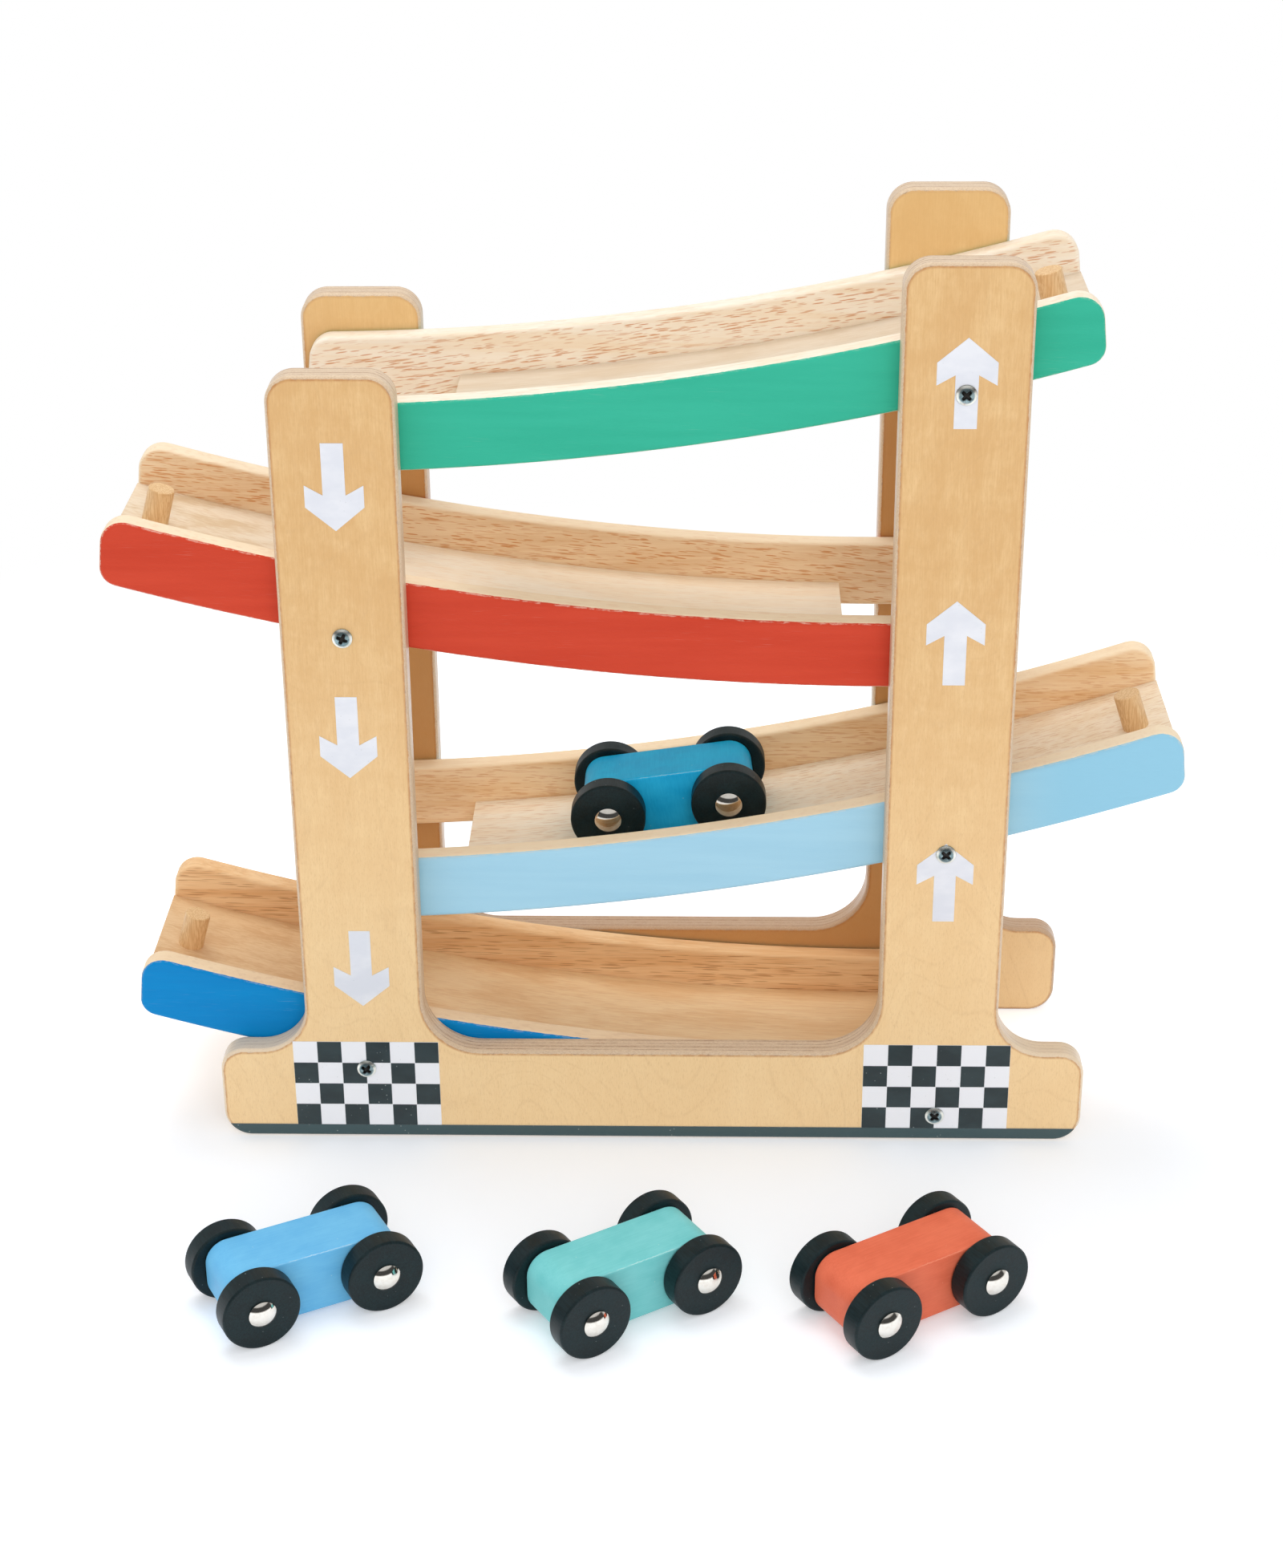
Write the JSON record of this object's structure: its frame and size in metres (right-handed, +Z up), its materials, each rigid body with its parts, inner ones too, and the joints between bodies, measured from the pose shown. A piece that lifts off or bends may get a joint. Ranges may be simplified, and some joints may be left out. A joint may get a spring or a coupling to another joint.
{
  "type": "click clack track toy",
  "caption": "Wooden click clack track: plywood side panels carry curved coloured tracks, and wooden cars roll down and drop from one track to the next.",
  "frame": {"origin": "on the table, in the middle of the ground area that the tower and its parked cars cover", "axes": "+X along the toy towards its taller upright, +Y from the front panel to the back panel, +Z up"},
  "size_m": [0.34, 0.2215, 0.3001],
  "materials": {
    "birch_ply": "clear sealed birch plywood",
    "rubberwood": "smooth sanded, unpainted",
    "dowel": "smooth sanded, unpainted",
    "green_paint": "satin paint on the outer face, bare wood above and inside",
    "red_paint": "satin paint on the outer face, bare wood above and inside",
    "pale_blue_paint": "satin paint on the outer face, bare wood above and inside",
    "deep_blue_paint": "satin paint on the outer face, bare wood above and inside",
    "zinc_screw": "bright zinc plated",
    "white_vinyl": "thin satin sticker",
    "dark_ink": "flat print",
    "wheel_paint": "satin dark paint",
    "axle_steel": "plain",
    "cap_nickel": "polished nickel dome",
    "track_car_paint": "satin paint",
    "sky_car_paint": "satin paint",
    "aqua_car_paint": "satin paint",
    "coral_car_paint": "satin paint"
  },
  "bodies": {
    "tower": {"front_panel": "birch_ply", "back_panel": "birch_ply", "green_front_rail": "green_paint", "green_back_rail": "green_paint", "green_floor": "rubberwood", "green_peg": "dowel", "red_front_rail": "red_paint", "red_back_rail": "red_paint", "red_floor": "rubberwood", "red_peg": "dowel", "pale_blue_front_rail": "pale_blue_paint", "pale_blue_back_rail": "pale_blue_paint", "pale_blue_floor": "rubberwood", "pale_blue_peg": "dowel", "deep_blue_front_rail": "deep_blue_paint", "deep_blue_back_rail": "deep_blue_paint", "deep_blue_floor": "rubberwood", "deep_blue_peg": "dowel", "front_screws": "zinc_screw", "back_screws": "zinc_screw", "arrow_stickers": "white_vinyl", "chequer_stickers": "white_vinyl", "chequer_ink": "dark_ink"},
    "track_car": {"track_car_block": "track_car_paint"},
    "track_car_low_wheels": {"track_car_low_axle": "axle_steel", "track_car_low_caps": "cap_nickel", "track_car_low_front_wheel": "wheel_paint", "track_car_low_back_wheel": "wheel_paint"},
    "track_car_high_wheels": {"track_car_high_axle": "axle_steel", "track_car_high_caps": "cap_nickel", "track_car_high_front_wheel": "wheel_paint", "track_car_high_back_wheel": "wheel_paint"},
    "sky_car": {"sky_car_block": "sky_car_paint"},
    "sky_car_left_wheels": {"sky_car_left_axle": "axle_steel", "sky_car_left_caps": "cap_nickel", "sky_car_left_front_wheel": "wheel_paint", "sky_car_left_back_wheel": "wheel_paint"},
    "sky_car_right_wheels": {"sky_car_right_axle": "axle_steel", "sky_car_right_caps": "cap_nickel", "sky_car_right_front_wheel": "wheel_paint", "sky_car_right_back_wheel": "wheel_paint"},
    "aqua_car": {"aqua_car_block": "aqua_car_paint"},
    "aqua_car_left_wheels": {"aqua_car_left_axle": "axle_steel", "aqua_car_left_caps": "cap_nickel", "aqua_car_left_front_wheel": "wheel_paint", "aqua_car_left_back_wheel": "wheel_paint"},
    "aqua_car_right_wheels": {"aqua_car_right_axle": "axle_steel", "aqua_car_right_caps": "cap_nickel", "aqua_car_right_front_wheel": "wheel_paint", "aqua_car_right_back_wheel": "wheel_paint"},
    "coral_car": {"coral_car_block": "coral_car_paint"},
    "coral_car_left_wheels": {"coral_car_left_axle": "axle_steel", "coral_car_left_caps": "cap_nickel", "coral_car_left_front_wheel": "wheel_paint", "coral_car_left_back_wheel": "wheel_paint"},
    "coral_car_right_wheels": {"coral_car_right_axle": "axle_steel", "coral_car_right_caps": "cap_nickel", "coral_car_right_front_wheel": "wheel_paint", "coral_car_right_back_wheel": "wheel_paint"}
  },
  "joints": [
    {"name": "track_car_run", "type": "hinge", "parent": "tower", "child": "track_car", "pos_m": [-0.12, 0.0618, 0.9692], "axis": [0, -1, 0], "range_deg": [-3.1, 7.9]},
    {"name": "track_car_low_spin", "type": "hinge", "parent": "track_car", "child": "track_car_low_wheels", "pos_m": [-0.01419, 0.0606, 0.10495], "axis": [0, 1, 0], "continuous": true},
    {"name": "track_car_high_spin", "type": "hinge", "parent": "track_car", "child": "track_car_high_wheels", "pos_m": [0.02539, 0.0606, 0.11073], "axis": [0, 1, 0], "continuous": true},
    {"name": "sky_car_run", "type": "slide", "parent": "tower", "child": "sky_car", "axis": [0.8805, 0.4741, 0], "range_m": [-0.06, 0.06]},
    {"name": "sky_car_left_spin", "type": "hinge", "parent": "sky_car", "child": "sky_car_left_wheels", "pos_m": [-0.12211, -0.08548, 0.0123], "axis": [-0.4741, 0.8805, 0], "continuous": true},
    {"name": "sky_car_right_spin", "type": "hinge", "parent": "sky_car", "child": "sky_car_right_wheels", "pos_m": [-0.08689, -0.06652, 0.0123], "axis": [-0.4741, 0.8805, 0], "continuous": true},
    {"name": "aqua_car_run", "type": "slide", "parent": "tower", "child": "aqua_car", "axis": [0.8368, 0.5476, 0], "range_m": [-0.06, 0.06]},
    {"name": "aqua_car_left_spin", "type": "hinge", "parent": "aqua_car", "child": "aqua_car_left_wheels", "pos_m": [-0.02354, -0.08965, 0.0123], "axis": [-0.5476, 0.8368, 0], "continuous": true},
    {"name": "aqua_car_right_spin", "type": "hinge", "parent": "aqua_car", "child": "aqua_car_right_wheels", "pos_m": [0.00993, -0.06775, 0.0123], "axis": [-0.5476, 0.8368, 0], "continuous": true},
    {"name": "coral_car_run", "type": "slide", "parent": "tower", "child": "coral_car", "axis": [0.8396, 0.5432, 0], "range_m": [-0.06, 0.06]},
    {"name": "coral_car_left_spin", "type": "hinge", "parent": "coral_car", "child": "coral_car_left_wheels", "pos_m": [0.06341, -0.08896, 0.0123], "axis": [-0.5432, 0.8396, 0], "continuous": true},
    {"name": "coral_car_right_spin", "type": "hinge", "parent": "coral_car", "child": "coral_car_right_wheels", "pos_m": [0.09699, -0.06724, 0.0123], "axis": [-0.5432, 0.8396, 0], "continuous": true}
  ],
  "couplings": [
    {"joint": "track_car_low_spin", "follows": "track_car_run", "ratio": 71.789},
    {"joint": "track_car_high_spin", "follows": "track_car_run", "ratio": 71.789},
    {"joint": "sky_car_left_spin", "follows": "sky_car_run", "rad_per_m": 81.301},
    {"joint": "sky_car_right_spin", "follows": "sky_car_run", "rad_per_m": 81.301},
    {"joint": "aqua_car_left_spin", "follows": "aqua_car_run", "rad_per_m": 81.301},
    {"joint": "aqua_car_right_spin", "follows": "aqua_car_run", "rad_per_m": 81.301},
    {"joint": "coral_car_left_spin", "follows": "coral_car_run", "rad_per_m": 81.301},
    {"joint": "coral_car_right_spin", "follows": "coral_car_run", "rad_per_m": 81.301}
  ]
}
